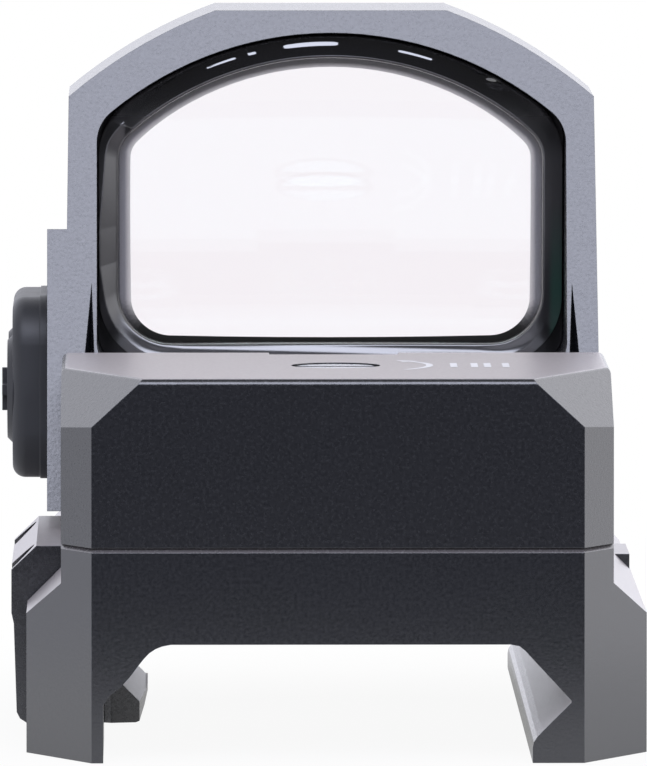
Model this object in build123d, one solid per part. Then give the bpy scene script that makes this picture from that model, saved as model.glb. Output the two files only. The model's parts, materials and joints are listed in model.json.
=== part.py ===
from build123d import *
import math
import os

# Compact open reflex sight ("red dot finder") on a low clamp mount for a 21.2 mm dovetail accessory rail.
# Millimetres.  +X is the user's right, +Y is where the sight looks, +Z is up.
# Origin: on the centre line, at mid length, on the plane where the top of the rail seats (z = 0).

os.makedirs("parts", exist_ok=True)

# ---- overall ----
LENGTH = 40.0                    # sight body and mount, front to back
REAR = -LENGTH / 2
FRONT = LENGTH / 2
HALF_WIDTH = 12.6                # sight body and upper mount
SEAM = 4.4                       # joint plane between mount and sight
DECK = 12.1                      # top of the rear block
BLOCK_END = -1.35                # front face of the rear block
MOUNT_BOTTOM = -5.4
MOUNT_FRONT = 32.0               # the mount reaches forward under and past the nose
MOUNT_LIP = 0.22                 # bevel along the mount's rear top edge
DECK_ROUND = 0.3                 # rounding of the rear block's top edges

# ---- hood ----
HOOD_TOP = 27.6
HOOD_SHOULDER_Z = 23.6           # where the straight side meets the arched top
HOOD_SHOULDER_X = 12.35
HOOD_FLAT_X = 5.45               # half width of the flat on top
HOOD_ARC = 23.0                  # radius from shoulder to flat
HOOD_REAR_Y = 2.8                # rear face of the hood, at seam height
HOOD_RAKE = 14.1                 # degrees, rear face leans away from the user
NOSE_RAKE = 7.2                  # degrees, front face leans back towards the user
TUNNEL_X = 11.03                 # half width of the window tunnel
TUNNEL_FLOOR = 10.6
TUNNEL_ARC = 16.4
TUNNEL_TOP = 26.55
TUNNEL_LOW_R = 1.6
TUNNEL_HIGH_R = 1.8
WINDOW_X = 9.97                  # half width inside the sealing bead
WINDOW_FLOOR = 11.55
WINDOW_TOP = 25.28
WINDOW_ARC = 14.3
WINDOW_LOW_R = 2.4
WINDOW_HIGH_R = 1.6
BEAD_INSET = 0.1                 # flat rim left between the tunnel wall and the bead
BEAD_LOW_R = 3.2
BEAD_HIGH_R = 3.4
BEAD_FOOT = 0.35
BEAD_RISE = 0.5                  # the crown stands this far off the foot
BEAD_ROUND = 0.42
LENS_EDGE = 0.4                  # how far the lens reaches outside the bezel opening
LENS_FRONT_Y = 14.2              # front of the lens on the window's axis
LENS_Z = 18.5
LENS_THICK = 3.0
LENS_CURVE = 300.0               # spherical radius of the lens faces
LENS_BEVEL = 1.0

# ---- well between block and hood ----
WELL_FLOOR = 9.6
WELL_X = 11.6
WELL_FRONT = 4.3
WELL_WALL_TOP = 10.9
RELIEF_TIP = (11.27, 5.45)       # pointed relief cuts run on into the foot of the hood
RELIEF_MOUTH_X = 11.08
EMITTER_TILT = 27.0              # degrees, the beam's climb towards the lens
EMITTER_RISE = 0.95              # height of the emitter window's centre above the well floor

# ---- corner planes ----
BODY_CORNER = (1.4, 2.7)         # rear corner bevel: width across x, run along y
DECK_CORNER_X = 8.8              # the rear top corner facet starts here on the rear edge
DECK_CORNER_DROP = 2.2
DECK_CORNER_RUN = 8.5

# ---- keypad on the left ----
PAD_X = 13.36
PAD_TOP = 17.44                  # at the rear face; the field slopes down towards the nose
PAD_SLOPE = 6.0                  # degrees
KEYPAD_Y = (5.9, 18.0)
KEYPAD_Z = (5.57, 14.2)
KEYPAD_FACE = 15.0
BUTTON_Y = (8.9, 15.1)
BUTTON_Z = 9.75
BUTTON_R = 2.55
BUTTON_FACE = 15.25
BUTTON_MARK = 15.5
BUTTON_STEM_R = 1.9
BUTTON_FIT = 0.1
BUTTON_TRAVEL = 0.3
KEY_POCKET_X = 11.75

# ---- electronics bay in the rear block ----
BAY_X = 7.4
BAY_REAR = -14.0
BAY_FRONT = -5.6
BAY_CEILING = 9.9
BOARD_Z = (5.35, 6.15)
COVER_THICK = 0.8

# ---- adjusters ----
ELEVATION_Y = -10.5
WINDAGE_Y = -7.7
WINDAGE_Z = 8.1
ADJUST_HEAD_R = 1.95
ADJUST_SHANK_R = 1.0
ADJUST_HEAD = 1.1                # head height
ADJUST_SEAL = 0.35
ADJUST_TRAVEL = 0.25             # each way from the middle
FIT = 0.03                       # radial clearance of a running thread or shaft

# ---- battery ----
BATTERY_R = 8.0
BATTERY_THICK = 3.2
BATTERY_X = 3.2
BATTERY_Y = 10.35
SLOT_Y = (1.9, 18.8)
SLOT_Z = (5.3, 9.1)
SLOT_END = -7.6

# ---- mount ----
LOWER_HALF = 14.2
SHOULDER = (2.6, 1.0)            # heights where the outward slope starts and ends
LOWER_CORNER = (3.0, 5.7)
FAR_SHOULDER_Y = (11.0, 17.4)    # a small ledge stands on the right shoulder here
V_APEX = (10.6, -2.6)            # 45 degree dovetail seat
V_TOP_X = 8.25
V_LIP_X = 8.85
JAW_Y = (-7.0, 12.0)
JAW_TOP = 3.5
JAW_OUT = 14.95
JAW_INNER = 12.15
JAW_GAP = 0.15
JAW_TIP_X = 8.65                 # the hook's tip, tapered back towards its rear end
CLAMP_Y = (-4.6, 9.6)
CLAMP_Z = 1.5
CLAMP_R = 1.25
LUG_Y = 2.5
LUG_LONG = 5.0
LUG_DEEP = 1.5
BODY_SCREW_X = 8.2
BODY_SCREW_Y = 0.6
BODY_SCREW_R = 1.0
BODY_SCREW_HEAD_R = 1.75
BODY_SCREW_TIP = 1.6
PIN_X = 10.3
PIN_Y = -15.5
PIN_R = 1.2


# ---- helpers ----
def block(x0, x1, y0, y1, z0, z1):
    """Rectangular solid between two opposite corners."""
    return Pos((x0 + x1) / 2, (y0 + y1) / 2, (z0 + z1) / 2) * Box(x1 - x0, y1 - y0, z1 - z0)


def rod_x(x0, x1, y, z, r):
    """Round bar along X."""
    return Pos((x0 + x1) / 2, y, z) * Rot(0, 90, 0) * Cylinder(r, x1 - x0)


def rod_z(x, y, z0, z1, r):
    """Round bar along Z."""
    return Pos(x, y, (z0 + z1) / 2) * Cylinder(r, z1 - z0)


def along_y(face, y0, y1):
    """Extrude a face drawn in X and Z from y0 to y1."""
    return extrude(Plane.XZ.offset(-y1) * face, amount=y1 - y0)


def along_x(face, x0, x1):
    """Extrude a face drawn in Y and Z from x0 to x1."""
    return extrude(Plane.YZ.offset(x0) * face, amount=x1 - x0)


def outline(*points):
    """Closed face with straight sides."""
    return make_face(Polyline(*points, close=True))


def rake_plane(y, z, degrees):
    """Plane across the sight whose normal points forward; it leans away from the user as it rises."""
    a = math.radians(degrees)
    return Plane(origin=(0, y, z), x_dir=(1, 0, 0), z_dir=(0, math.cos(a), -math.sin(a)))


def rear_plane(inset=0.0):
    """Raked rear face of the hood, or a plane parallel to it further forward."""
    return rake_plane(HOOD_REAR_Y, SEAM, HOOD_RAKE).offset(inset)


def nose_plane(inset=0.0):
    """Front face of the sight, or a plane parallel to it further back."""
    return rake_plane(FRONT, SEAM, -NOSE_RAKE).offset(-inset)


def lens_plane(back=0.0):
    """Front face of the lens, or a plane parallel to it further back."""
    return rake_plane(LENS_FRONT_Y, LENS_Z, -NOSE_RAKE).offset(-back)


def slab(solid, rear, front):
    """The part of a solid between a rear plane and a front plane."""
    kept = split(solid, bisect_by=rear, keep=Keep.TOP)
    return split(kept, bisect_by=front, keep=Keep.BOTTOM)


def arched(half, floor, top, arc, low_r, high_r):
    """Window outline: flat floor, straight sides, one round arch, all corners rounded."""
    centre = top - arc
    spring = centre + math.sqrt(arc * arc - half * half)
    walls = Polyline((-half, spring), (-half, floor), (half, floor), (half, spring))
    face = make_face(walls + ThreePointArc((half, spring), (0, top), (-half, spring)))
    low = [v for v in face.vertices() if v.Z + v.Y < floor + 0.01]
    face = fillet(low, low_r)
    high = [v for v in face.vertices() if abs(v.Y - spring) < 0.01]
    return fillet(high, high_r)


def tunnel_outline(grow=0.0):
    """Outline of the tunnel through the hood, grown or shrunk."""
    return arched(TUNNEL_X + grow, TUNNEL_FLOOR - grow, TUNNEL_TOP + grow, TUNNEL_ARC + grow,
                  TUNNEL_LOW_R + grow, TUNNEL_HIGH_R + grow)


def window_outline(grow=0.0):
    """Outline of the clear window inside the bezel, grown or shrunk."""
    return arched(WINDOW_X + grow, WINDOW_FLOOR - grow, WINDOW_TOP + grow, WINDOW_ARC + grow,
                  WINDOW_LOW_R + grow, WINDOW_HIGH_R + grow)


# ---- sight body ----
def hood_outline():
    """Front view of the hood: slightly tapering sides, two convex arcs and a flat top."""
    side = Polyline((-HOOD_SHOULDER_X, HOOD_SHOULDER_Z), (-HALF_WIDTH, SEAM), (HALF_WIDTH, SEAM),
                    (HOOD_SHOULDER_X, HOOD_SHOULDER_Z))
    right = RadiusArc((HOOD_SHOULDER_X, HOOD_SHOULDER_Z), (HOOD_FLAT_X, HOOD_TOP), -HOOD_ARC)
    top = Line((HOOD_FLAT_X, HOOD_TOP), (-HOOD_FLAT_X, HOOD_TOP))
    left = RadiusArc((-HOOD_FLAT_X, HOOD_TOP), (-HOOD_SHOULDER_X, HOOD_SHOULDER_Z), -HOOD_ARC)
    return make_face(side + right + top + left)


def corner_cutter(side, half, bevel, z0, z1):
    """Wedge that bevels one vertical rear corner."""
    dx, dy = bevel
    x_out = half + 1
    face = make_face(Polyline((side * (half - dx), REAR), (side * half, REAR + dy),
                              (side * x_out, REAR + dy), (side * x_out, REAR - 1),
                              (side * (half - dx), REAR - 1), close=True))
    return extrude(Plane.XY.offset(z0) * face, amount=z1 - z0)


def deck_corner_cutter(side):
    """Half space beyond the sloping facet at one rear top corner."""
    a = Vector(side * DECK_CORNER_X, REAR, DECK)
    b = Vector(side * (HALF_WIDTH - BODY_CORNER[0]), REAR, DECK - DECK_CORNER_DROP)
    c = Vector(side * HALF_WIDTH, REAR + DECK_CORNER_RUN, DECK)
    normal = (b - a).cross(c - a).normalized()
    if normal.X * side < 0:
        normal = -normal
    plane = Plane(origin=a, z_dir=normal)
    return extrude(plane * Rectangle(40, 40), amount=12)


def base_body():
    """Rear block and low floor that runs forward to the nose."""
    profile = outline((REAR, SEAM), (FRONT, SEAM), (FRONT, WELL_WALL_TOP), (BLOCK_END, WELL_WALL_TOP),
                      (BLOCK_END, DECK), (REAR, DECK))
    body = along_x(profile, -HALF_WIDTH, HALF_WIDTH)
    for side in (-1, 1):
        body -= corner_cutter(side, HALF_WIDTH, BODY_CORNER, SEAM - 1, DECK + 1)
        body -= deck_corner_cutter(side)
    deck_edges = [e for e in body.edges() if e.bounding_box().min.Z > DECK - 0.01 and e.center().Y < BLOCK_END - 0.01]
    return fillet(deck_edges, DECK_ROUND)


def hood():
    """Lens hood with the raised keypad field on its left side."""
    shell = along_y(hood_outline(), HOOD_REAR_Y - 1, FRONT + 2)
    pad_rear = HOOD_REAR_Y + (PAD_TOP - SEAM) * math.tan(math.radians(HOOD_RAKE))
    fall = math.tan(math.radians(PAD_SLOPE))
    front = FRONT + 2
    field = outline((0, SEAM), (front, SEAM), (front, PAD_TOP - (front - pad_rear) * fall),
                    (0, PAD_TOP + pad_rear * fall))
    shell += along_x(field, -PAD_X, -HALF_WIDTH + 1)
    return split(shell, bisect_by=rear_plane(), keep=Keep.TOP)


def emitter_notch():
    """Sloping recess in the block's front top edge that clears the beam."""
    run = (DECK - WELL_FLOOR) * math.tan(math.radians(EMITTER_TILT))
    side = outline((BLOCK_END + 1, WELL_FLOOR), (BLOCK_END, WELL_FLOOR), (BLOCK_END - run, DECK),
                   (BLOCK_END - run, DECK + 1), (BLOCK_END + 1, DECK + 1))
    return along_x(side, -3.0, 3.0)


def emitter_frame(back=0.0):
    """Plane on the sloping emitter face, normal along the beam."""
    a = math.radians(EMITTER_TILT)
    centre = (0, BLOCK_END - EMITTER_RISE * math.tan(a), WELL_FLOOR + EMITTER_RISE)
    return Plane(origin=centre, x_dir=(1, 0, 0), z_dir=(0, math.cos(a), math.sin(a))).offset(-back)


def well_cut():
    """Pocket milled down between block and hood, with a pointed relief cut at each front corner."""
    pocket = block(-WELL_X, WELL_X, BLOCK_END, WELL_FRONT, WELL_FLOOR, HOOD_TOP)
    tip_x, tip_y = RELIEF_TIP
    for side in (-1, 1):
        wedge = outline((side * RELIEF_MOUTH_X, WELL_FRONT - 0.1), (side * WELL_X, WELL_FRONT - 0.1),
                        (side * WELL_X, WELL_FRONT + 0.3), (side * tip_x, tip_y))
        pocket += extrude(Plane.XY.offset(WELL_FLOOR) * wedge, amount=HOOD_TOP - WELL_FLOOR)
    return pocket


def adjuster_recess():
    """Stepped holes for the elevation and windage screws, deep enough for their seals to travel."""
    seat = ADJUST_HEAD + ADJUST_SEAL + ADJUST_TRAVEL + 0.07
    cut = rod_z(0, ELEVATION_Y, DECK - seat, DECK + 1, ADJUST_HEAD_R + 0.1)
    cut += rod_z(0, ELEVATION_Y, BAY_CEILING - 0.5, DECK, ADJUST_SHANK_R + FIT)
    cut += rod_x(HALF_WIDTH - seat, HALF_WIDTH + 1, WINDAGE_Y, WINDAGE_Z, ADJUST_HEAD_R + 0.1)
    cut += rod_x(BAY_X - 0.5, HALF_WIDTH, WINDAGE_Y, WINDAGE_Z, ADJUST_SHANK_R + FIT)
    return cut


def battery_cut():
    """Slot for the battery tray, open on the right, with the ear recess of its screw."""
    cut = block(SLOT_END, HALF_WIDTH + 1, SLOT_Y[0], SLOT_Y[1], SLOT_Z[0], SLOT_Z[1])
    cut += block(HALF_WIDTH - 1.2, HALF_WIDTH + 1, -2.1, SLOT_Y[0], SLOT_Z[0], SLOT_Z[1])
    return cut + rod_x(9.9, HALF_WIDTH, 0.0, 7.2, 0.8 + FIT)


def keypad_cut():
    """Pocket behind the keypad."""
    return block(-PAD_X - 1, -KEY_POCKET_X, KEYPAD_Y[0] + 0.9, KEYPAD_Y[1] - 0.9,
                 KEYPAD_Z[0] + 0.9, KEYPAD_Z[1] - 0.9)


def fastener_cuts():
    """Body screw holes and recoil pin pockets."""
    cut = Part()
    for side in (-1, 1):
        cut += rod_z(side * BODY_SCREW_X, BODY_SCREW_Y, SEAM - 1, WELL_FLOOR + 1, BODY_SCREW_R + 0.1)
        cut += rod_z(side * PIN_X, PIN_Y, SEAM - 1, 6.1, PIN_R + 0.08)
    return cut


def housing():
    """Machined aluminium body of the sight."""
    body = base_body() + hood()
    body = split(body, bisect_by=nose_plane(), keep=Keep.BOTTOM)
    tunnel = along_y(tunnel_outline(), HOOD_REAR_Y - 2, FRONT + 2)
    body -= split(tunnel, bisect_by=lens_plane(), keep=Keep.BOTTOM)
    lip = along_y(window_outline(0.15), HOOD_REAR_Y - 2, FRONT + 2)
    body -= lip
    body -= well_cut()
    body -= emitter_notch()
    body -= extrude(emitter_frame(5.0) * Rectangle(3.2, 1.3), amount=6)
    body -= extrude(emitter_frame(0.45) * Rectangle(4.6, 1.75), amount=2)
    body -= block(-BAY_X, BAY_X, -17.0, BAY_FRONT, SEAM - 1, BOARD_Z[1] + 0.9)
    body -= block(-BAY_X, BAY_X, BAY_REAR, BAY_FRONT, SEAM, BAY_CEILING)
    body -= block(-8.6, 8.6, -18.5, -4.2, SEAM - 1, SEAM + COVER_THICK)
    for x in (-6.0, 6.0):
        for y in (-17.75, -4.9):
            body -= rod_z(x, y, SEAM, 6.6, 0.42)
    body -= adjuster_recess()
    body -= battery_cut()
    body -= keypad_cut()
    body -= fastener_cuts()
    return body


# ---- optics ----
def objective_lens():
    """Tilted meniscus mirror lens: concave behind, convex in front, ground bevel on the rear edge."""
    blank = along_y(window_outline(LENS_EDGE), 0, FRONT)
    lens = slab(blank, lens_plane(LENS_THICK), lens_plane())
    rear_edges = [e for e in lens.edges() if abs(lens_plane(LENS_THICK).to_local_coords(e.center()).Z) < 0.01]
    lens = chamfer(rear_edges, LENS_BEVEL)
    reach = math.sqrt(LENS_CURVE ** 2 - 12.0 ** 2)
    hollow = lens_plane(LENS_THICK + reach).origin
    bulge = lens_plane(reach + 0.45).origin
    lens -= Pos(*hollow) * Sphere(LENS_CURVE)
    return lens & (Pos(*bulge) * Sphere(LENS_CURVE))


def lens_seal():
    """Dark sealing ring that beds the lens edge in the tunnel."""
    ring = along_y(tunnel_outline(-0.02), 0, FRONT) - along_y(window_outline(LENS_EDGE + 0.02), -1, FRONT + 1)
    return slab(ring, lens_plane(LENS_THICK - 0.05), lens_plane(0.05))


def lens_bezel():
    """Gloss black sealing bead round the lens: a flat foot on the glass and a half-round crown."""
    seat = LENS_THICK + 0.05
    clear = along_y(window_outline(), -1, FRONT + 1)
    foot = slab(along_y(tunnel_outline(-0.02), 0, FRONT), lens_plane(seat + BEAD_FOOT), lens_plane(seat))
    crown_face = arched(TUNNEL_X - BEAD_INSET, TUNNEL_FLOOR + BEAD_INSET, TUNNEL_TOP - BEAD_INSET,
                        TUNNEL_ARC - BEAD_INSET, BEAD_LOW_R, BEAD_HIGH_R)
    crest = lens_plane(seat + BEAD_FOOT + BEAD_RISE)
    crown = slab(along_y(crown_face, 0, FRONT) - clear, crest, lens_plane(seat + BEAD_FOOT))
    crest_edges = [e for e in crown.edges() if abs(crest.to_local_coords(e.center()).Z) < 0.01]
    return foot - clear + fillet(crest_edges, BEAD_ROUND)


def emitter_window():
    """Small glass plate over the diode port."""
    return extrude(emitter_frame(0.43) * Rectangle(4.5, 1.65), amount=0.4)


# ---- emitter carriage ----
def elevation_slide():
    """Carriage that the elevation screw pushes down against its spring."""
    body = block(-4.8, 4.8, BAY_REAR + 0.1, -9.2, 6.9, 9.3)
    body -= block(-6, 6, -10.1, -9.0, 7.7, 8.5)
    body -= rod_z(0, ELEVATION_Y - 1.2, 6.5, 7.6, 1.45)
    for x in (-4.8, 4.8):
        body -= rod_z(x, -12.0, 6.5, 9.5, 0.9)
    return body


def led_holder():
    """Cross slide in front of the carriage; it carries the diode and takes the windage screw's push."""
    body = block(-3.2, 3.2, -9.05, -6.5, 7.0, 9.2)
    body += block(-3.0, 3.0, -10.0, -9.0, 7.75, 8.45)
    body -= block(-1.3, 1.3, -7.3, -6.0, 7.9, 9.5)
    return body


def led_die():
    """Light emitting diode chip on its ceramic carrier."""
    carrier = block(-1.2, 1.2, -7.28, -6.7, 7.95, 8.85)
    return carrier + block(-0.3, 0.3, -6.7, -6.5, 8.2, 8.6)


def slotted_head(r, height):
    """Flat adjuster head with a screwdriver slot and a bevelled rim, top face at z = 0."""
    head = Pos(0, 0, -height / 2) * Cylinder(r, height)
    head = chamfer(head.edges().group_by(Axis.Z)[-1], 0.15)
    return head - Pos(0, 0, 0) * Box(2 * r + 1, 0.6, 1.0)


def adjuster_screw(tip):
    """Adjuster along Z with its head's top face at z = 0 and its rounded tip at the given depth."""
    shank = Pos(0, 0, (tip - ADJUST_HEAD) / 2) * Cylinder(ADJUST_SHANK_R, -tip - ADJUST_HEAD)
    shank = chamfer(shank.edges().group_by(Axis.Z)[0], 0.25)
    return slotted_head(ADJUST_HEAD_R, ADJUST_HEAD) + shank


def elevation_screw():
    """Elevation adjuster in the deck."""
    return Pos(0, ELEVATION_Y, DECK - 0.05) * adjuster_screw(9.34 - DECK + 0.05)


def windage_screw():
    """Windage adjuster in the right side."""
    return Pos(HALF_WIDTH - 0.05, WINDAGE_Y, WINDAGE_Z) * Rot(0, 90, 0) * adjuster_screw(3.25 - HALF_WIDTH + 0.05)


def seal_ring():
    """Square section sealing ring under an adjuster's head, centred on z = 0."""
    return Cylinder(ADJUST_HEAD_R - 0.1, ADJUST_SEAL - 0.04) - Cylinder(ADJUST_SHANK_R + 0.02, 1)


def elevation_seal():
    """Sealing ring of the elevation screw."""
    return Pos(0, ELEVATION_Y, DECK - 0.05 - ADJUST_HEAD - ADJUST_SEAL / 2) * seal_ring()


def windage_seal():
    """Sealing ring of the windage screw."""
    x = HALF_WIDTH - 0.05 - ADJUST_HEAD - ADJUST_SEAL / 2
    return Pos(x, WINDAGE_Y, WINDAGE_Z) * Rot(0, 90, 0) * seal_ring()


def coil(radius, wire, length, turns):
    """Compression spring along Z from z = 0."""
    path = Helix(pitch=(length - 2 * wire) / turns, height=length - 2 * wire, radius=radius)
    wire_end = Plane(origin=path @ 0, z_dir=path % 0) * RegularPolygon(wire, 4)
    return Pos(0, 0, wire) * sweep(wire_end, path=path)


def elevation_spring():
    """Spring under the carriage."""
    return Pos(0, ELEVATION_Y - 1.2, BOARD_Z[1] + 0.03) * coil(1.1, 0.12, 1.35, 2.5)


def windage_spring():
    """Spring between the bay's left wall and the cross slide."""
    return Pos(-BAY_X + 0.05, WINDAGE_Y, WINDAGE_Z) * Rot(0, 90, 0) * coil(0.7, 0.12, 3.85, 4.5)


def circuit_board():
    """Main board at the bottom of the bay."""
    board = block(-7.2, 7.2, -16.8, BAY_FRONT - 0.2, BOARD_Z[0], BOARD_Z[1])
    for x in (-6.2, 6.2):
        board -= rod_z(x, -15.8, 5, 7, 0.5)
    return board


def board_chips():
    """Driver chip, inductor and two capacitors on the rear strip of the board."""
    z = BOARD_Z[1] + 0.01
    driver = block(-1.2, 1.2, -16.6, -14.4, z, z + 0.6)
    inductor = fillet(block(2.2, 4.2, -16.4, -14.6, z, z + 0.7).edges().filter_by(Axis.Z), 0.4)
    caps = [block(x, x + 0.6, -16.2, -15.0, z, z + 0.4) for x in (-3.6, -2.4)]
    return Compound(children=[driver, inductor] + caps)


def bottom_cover():
    """Plate that closes the bay from below."""
    plate = block(-8.5, 8.5, -18.4, -4.3, SEAM + 0.02, SEAM + COVER_THICK - 0.02)
    plate = chamfer(plate.edges().filter_by(Axis.Z), 0.6)
    for x in (-6.0, 6.0):
        for y in (-17.75, -4.9):
            plate -= rod_z(x, y, 4, 6, 0.45)
            plate -= rod_z(x, y, 4, SEAM + 0.38, 0.62)
    return plate


def bottom_cover_screws():
    """Four tiny countersunk screws under the cover."""
    screws = []
    for x in (-6.0, 6.0):
        for y in (-17.75, -4.9):
            screw = rod_z(x, y, SEAM + 0.04, SEAM + 0.36, 0.58)
            screw += rod_z(x, y, SEAM + 0.3, 6.5, 0.4)
            screw -= block(x - 0.4, x + 0.4, y - 0.08, y + 0.08, 4, 4.6)
            screws.append(screw)
    return Compound(children=screws)


# ---- battery ----
def battery():
    """Coin cell: wide can with a stepped smaller cap below."""
    z0 = SLOT_Z[0] + 0.4
    cell = rod_z(BATTERY_X, BATTERY_Y, z0 + 0.35, z0 + BATTERY_THICK, BATTERY_R)
    cell = chamfer(cell.edges().group_by(Axis.Z)[-1], 0.3)
    return cell + rod_z(BATTERY_X, BATTERY_Y, z0, z0 + 0.35, BATTERY_R - 0.9)


def battery_tray():
    """Drawer round the coin cell with an outer face plate and a screw ear."""
    arms = block(-5.6, 11.5, SLOT_Y[0] + 0.06, SLOT_Y[1] - 0.06, SLOT_Z[0] + 0.05, 8.2)
    arms = fillet(arms.edges().filter_by(Axis.Z).group_by(Axis.X)[0], 3.0)
    arms -= rod_z(BATTERY_X, BATTERY_Y, SLOT_Z[0] + 0.35, 9, BATTERY_R + 0.06)
    arms -= rod_z(BATTERY_X, BATTERY_Y, 5, 9, BATTERY_R - 0.8)
    face = block(11.45, HALF_WIDTH - 0.15, -2.0, SLOT_Y[1] - 0.06, SLOT_Z[0] + 0.05, SLOT_Z[1] - 0.05)
    face -= rod_x(11, 13, 0.0, 7.2, 0.9)
    face -= rod_x(11.75, 13, 0.0, 7.2, 1.35)
    notch = rod_z(HALF_WIDTH + 0.6, BATTERY_Y, 5, 10, 1.3)
    return arms + face - notch


def tray_seal():
    """Thin gasket behind the tray's face plate."""
    return block(11.22, 11.43, SLOT_Y[0] + 0.05, SLOT_Y[1] - 0.05, 8.25, SLOT_Z[1] - 0.04)


def tray_screw():
    """Captive screw in the tray's ear."""
    head = rod_x(11.8, 12.4, 0.0, 7.2, 1.25) - block(12.15, 13, -2, 2, 7.0, 7.4)
    return head + rod_x(10.1, 11.9, 0.0, 7.2, 0.8)


def battery_contacts():
    """Two leaf contacts at the inner end of the slot."""
    leaves = []
    for y in (BATTERY_Y - 2.2, BATTERY_Y + 2.2):
        foot = block(SLOT_END + 0.02, SLOT_END + 0.3, y - 0.9, y + 0.9, SLOT_Z[0] + 0.2, 8.6)
        arm = block(SLOT_END + 0.02, SLOT_END + 1.75, y - 0.9, y + 0.9, 8.35, 8.6)
        leaves.append(foot + arm)
    return Compound(children=leaves)


# ---- keypad ----
def keypad_outline(grow):
    """Rounded rectangle in Y and Z."""
    cy = sum(KEYPAD_Y) / 2
    cz = sum(KEYPAD_Z) / 2
    wide = KEYPAD_Y[1] - KEYPAD_Y[0] + 2 * grow
    tall = KEYPAD_Z[1] - KEYPAD_Z[0] + 2 * grow
    return Pos(cy, cz) * RectangleRounded(wide, tall, 2.2 + grow)


def keypad_cover():
    """Rubber keypad body: thin flange, domed block and a plug that fills the pocket's mouth."""
    flange = along_x(keypad_outline(0.0), -PAD_X - 0.35, -PAD_X)
    dome = along_x(keypad_outline(-0.06), -KEYPAD_FACE, -PAD_X - 0.3)
    dome = fillet(dome.edges().group_by(Axis.X)[0], 0.6)
    plug = block(-PAD_X - 0.1, -12.95, KEYPAD_Y[0] + 0.95, KEYPAD_Y[1] - 0.95,
                 KEYPAD_Z[0] + 0.95, KEYPAD_Z[1] - 0.95)
    body = flange + dome + plug
    for y in BUTTON_Y:
        body -= rod_x(-16, -PAD_X - 0.15, y, BUTTON_Z, BUTTON_R + BUTTON_FIT)
        body -= rod_x(-14, -12, y, BUTTON_Z, BUTTON_STEM_R + BUTTON_FIT)
    return body


def button(y, plus):
    """One key: soft cap, plunger and a raised plus or minus."""
    z = BUTTON_Z
    cap = rod_x(-BUTTON_FACE, -PAD_X - BUTTON_TRAVEL - 0.2, y, z, BUTTON_R)
    cap = chamfer(cap.edges().group_by(Axis.X)[0], 0.25)
    cap += rod_x(-14.5, -12.9, y, z, BUTTON_STEM_R)
    cap += rod_x(-13.0, -12.75, y, z, 0.8)
    cap += block(-BUTTON_MARK, -BUTTON_FACE + 0.2, y - 1.0, y + 1.0, z - 0.25, z + 0.25)
    if plus:
        cap += block(-BUTTON_MARK, -BUTTON_FACE + 0.2, y - 0.25, y + 0.25, z - 1.0, z + 1.0)
    return cap


def keypad_board():
    """Thin board behind the keys."""
    return block(-12.15, -KEY_POCKET_X - 0.02, KEYPAD_Y[0] + 1.1, KEYPAD_Y[1] - 1.1,
                 KEYPAD_Z[0] + 1.1, KEYPAD_Z[1] - 1.1)


def switch_domes():
    """Two snap domes on the keypad board."""
    domes = []
    for y in BUTTON_Y:
        skirt = along_x(Pos(y, BUTTON_Z) * RegularPolygon(1.6, 12), -12.28, -12.16)
        crown = along_x(Pos(y, BUTTON_Z) * RegularPolygon(1.1, 12), -12.41, -12.28)
        domes.append(skirt + crown)
    return Compound(children=domes)


# ---- mount ----
def mount_outline():
    """Front view of the mount: dovetail seat on the right, open leg with a hollow root on the left."""
    ax, az = V_APEX
    right = [(V_TOP_X - 0.4, 0), (V_TOP_X, -0.08), (V_TOP_X + 0.25, -0.28), (ax, az + 0.05), (ax, az - 0.05),
             (V_LIP_X + 0.45, -3.95), (V_LIP_X + 0.2, -4.22), (V_LIP_X + 0.05, -4.45), (V_LIP_X, -4.7),
             (V_LIP_X, MOUNT_BOTTOM), (LOWER_HALF, MOUNT_BOTTOM), (LOWER_HALF, SHOULDER[1]),
             (HALF_WIDTH, SHOULDER[0]), (HALF_WIDTH, SEAM)]
    left = [(-HALF_WIDTH, SEAM), (-HALF_WIDTH, SHOULDER[0]), (-LOWER_HALF, SHOULDER[1]),
            (-LOWER_HALF, MOUNT_BOTTOM), (-10.67, MOUNT_BOTTOM), (-10.67, -2.75), (-10.4, -2.35),
            (-9.82, -1.88), (-9.45, -1.46), (-9.06, -0.94), (-8.82, -0.64), (-8.58, -0.39),
            (-8.3, -0.2), (-8.0, -0.08), (-7.6, 0)]
    return outline(*(right + left))


def far_shoulder():
    """Small ledge on the right shoulder."""
    outer = LOWER_HALF - 0.05
    ledge = outline((HALF_WIDTH - 0.5, 1.75), (outer, 1.75), (outer, 0.5), (HALF_WIDTH - 0.5, 0.5))
    return along_y(ledge, FAR_SHOULDER_Y[0], FAR_SHOULDER_Y[1])


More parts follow.
